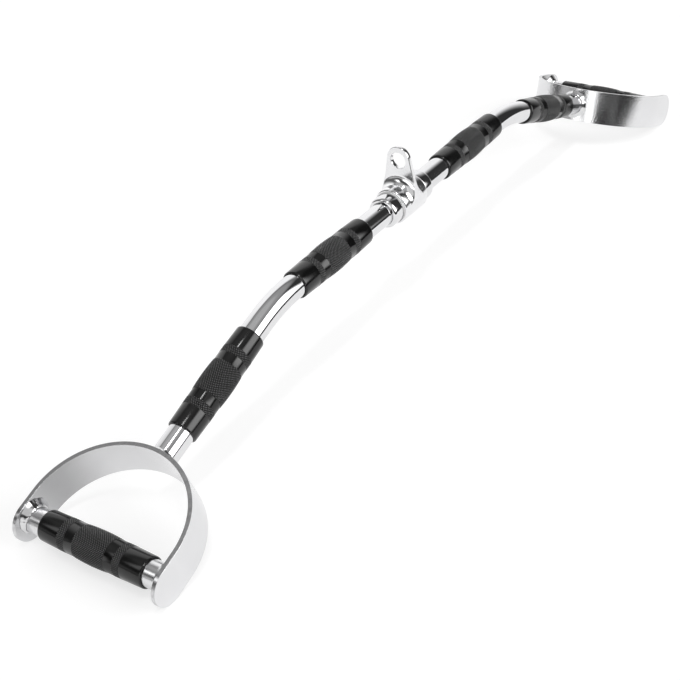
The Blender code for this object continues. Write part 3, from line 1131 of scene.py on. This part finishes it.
def floor_material():
    """A matt floor that is white in the picture, with its shadows deeper in reflections."""
    material, tree, shader = new_material("studio_floor")
    setting = stage_settings()
    shader.inputs["Roughness"].default_value = 1.0
    shader.inputs["Specular IOR Level"].default_value = 0.0
    path = tree.nodes.new("ShaderNodeLightPath")
    mirrored = path.outputs["Is Glossy Ray"]
    tint = mix_colour(tree, mirrored, tuple(setting.floor), tuple(setting.mirrored_floor))
    tree.links.new(tint, shader.inputs["Base Color"])
    shader.inputs["Emission Color"].default_value = (1.0, 1.0, 1.0, 1.0)
    glow = calculate(tree, "MULTIPLY", path.outputs["Is Camera Ray"], setting.floor_glow)
    glow = calculate(tree, "MULTIPLY_ADD", mirrored, setting.mirrored_glow, glow)
    tree.links.new(glow, shader.inputs["Emission Strength"])
    return material


def light_panel(tree, direction, height, panel):
    """The share of a light panel in each direction of the room."""
    turn = tree.nodes.new("ShaderNodeVectorRotate")
    turn.rotation_type = "Z_AXIS"
    turn.inputs["Angle"].default_value = -radians(panel.bearing)
    parts = tree.nodes.new("ShaderNodeSeparateXYZ")
    tree.links.new(direction, turn.inputs["Vector"])
    tree.links.new(turn.outputs["Vector"], parts.inputs["Vector"])
    bearing = calculate(tree, "ARCTAN2", parts.outputs["Y"], parts.outputs["X"])
    across = window(tree, bearing, 0.0, radians(panel.half_width), radians(panel.side_fade))
    upright = window(tree, height, radians(panel.height), radians(panel.half_height),
                     radians(panel.fade))
    return calculate(tree, "MULTIPLY", across, upright)


def room_light(tree):
    """The level of the room in every direction: panels, a ceiling and a strip overhead."""
    place = tree.nodes.new("ShaderNodeTexCoord").outputs["Generated"]
    parts = tree.nodes.new("ShaderNodeSeparateXYZ")
    tree.links.new(place, parts.inputs["Vector"])
    height = calculate(tree, "ARCSINE", parts.outputs["Z"])
    level = ROOM_LEVEL
    for panel in LIGHT_PANELS:
        level = calculate(tree, "MULTIPLY_ADD", light_panel(tree, place, height, panel),
                          panel.level, level)
    for start, end, top in CEILING:
        level = calculate(tree, "ADD", level, rise(tree, parts.outputs["Z"], start, end, top))
    long_middle, side_middle = STRIP_MIDDLE
    along = window(tree, parts.outputs["X"], long_middle, STRIP_HALF_LENGTH, STRIP_END_FADE)
    across = window(tree, parts.outputs["Y"], side_middle, STRIP_HALF_WIDTH, STRIP_SIDE_FADE)
    above = calculate(tree, "GREATER_THAN", parts.outputs["Z"], STRIP_LOWEST)
    strip = calculate(tree, "MULTIPLY", calculate(tree, "MULTIPLY", across, along), above)
    level = calculate(tree, "MULTIPLY_ADD", strip, STRIP_LEVEL, level)
    return calculate(tree, "MULTIPLY", level, stage_settings().brightness)


def studio_world():
    """White for the camera, and a dark room with soft light panels for the object."""
    world = bpy.data.worlds.new("studio")
    world.use_nodes = True
    tree = world.node_tree
    tree.nodes.clear()
    output = tree.nodes.new("ShaderNodeOutputWorld")
    path = tree.nodes.new("ShaderNodeLightPath")
    white = add_node(tree, "ShaderNodeBackground", Color=(1, 1, 1, 1), Strength=1.0)
    room = add_node(tree, "ShaderNodeBackground", Color=(1, 1, 1, 1))
    choose = tree.nodes.new("ShaderNodeMixShader")
    links = tree.links
    links.new(room_light(tree), room.inputs["Strength"])
    links.new(path.outputs["Is Camera Ray"], choose.inputs["Fac"])
    links.new(room.outputs["Background"], choose.inputs[1])
    links.new(white.outputs["Background"], choose.inputs[2])
    links.new(choose.outputs["Shader"], output.inputs["Surface"])
    return world


class PULLDOWN_OT_stage(bpy.types.Operator):
    """Set up the floor, the soft light and the camera"""

    bl_idname = "pulldown.stage"
    bl_label = "Stage"

    def execute(self, context):
        scene = context.scene
        setting = stage_settings()
        bm = bmesh.new()
        bmesh.ops.create_grid(bm, x_segments=1, y_segments=1, size=0.5)
        size = Matrix.Diagonal((setting.floor_length, setting.floor_depth, 1, 1))
        middle = Matrix.Translation((0, setting.floor_depth / 2 - setting.floor_front, 0))
        floor = add_piece("studio_floor", bm, middle @ size, [floor_material()])
        scene.world = studio_world()
        scene.view_settings.view_transform = "Standard"
        camera = bpy.data.objects.new("camera", bpy.data.cameras.new("camera"))
        camera.data.lens = setting.lens
        camera.location = centre_frame() @ Vector(CAMERA_OFFSET)
        camera.rotation_euler = [radians(angle) for angle in CAMERA_TURN]
        scene.collection.objects.link(camera)
        scene.camera = camera
        return {"FINISHED"}


OPERATORS = (PULLDOWN_OT_main_bar, PULLDOWN_OT_grips, PULLDOWN_OT_handle_straps,
             PULLDOWN_OT_handle_rods, PULLDOWN_OT_welds, PULLDOWN_OT_hanger,
             PULLDOWN_OT_collars, PULLDOWN_OT_stage)


class PULLDOWN_PT_sidebar(bpy.types.Panel):
    """Sizes, colours and builders of the pulldown bar"""

    bl_idname = "PULLDOWN_PT_sidebar"
    bl_label = "Pulldown Bar"
    bl_space_type = "VIEW_3D"
    bl_region_type = "UI"
    bl_category = "Pulldown Bar"

    def draw(self, context):
        for operator in OPERATORS:
            self.layout.operator(operator.bl_idname)
        for key, group in SETTINGS.items():
            box = self.layout.box()
            box.label(text=group.__doc__)
            for name in group.__annotations__:
                box.prop(getattr(context.scene, key), name)


SETTINGS = {
    "pulldown_bar": BarSizes,
    "pulldown_grips": GripSizes,
    "pulldown_handles": HandleSizes,
    "pulldown_hanger": HangerSizes,
    "pulldown_finishes": FinishColours,
    "pulldown_stage": StageSettings,
}


def register():
    for group in SETTINGS.values():
        bpy.utils.register_class(group)
    for key, group in SETTINGS.items():
        setattr(bpy.types.Scene, key, PointerProperty(type=group))
    for operator in OPERATORS:
        bpy.utils.register_class(operator)
    bpy.utils.register_class(PULLDOWN_PT_sidebar)


def unregister():
    bpy.utils.unregister_class(PULLDOWN_PT_sidebar)
    for operator in reversed(OPERATORS):
        bpy.utils.unregister_class(operator)
    for key in SETTINGS:
        delattr(bpy.types.Scene, key)
    for group in reversed(SETTINGS.values()):
        bpy.utils.unregister_class(group)


def main():
    register()
    for operator in OPERATORS:
        category, name = operator.bl_idname.split(".")
        getattr(getattr(bpy.ops, category), name)()


if __name__ == "__main__":
    main()
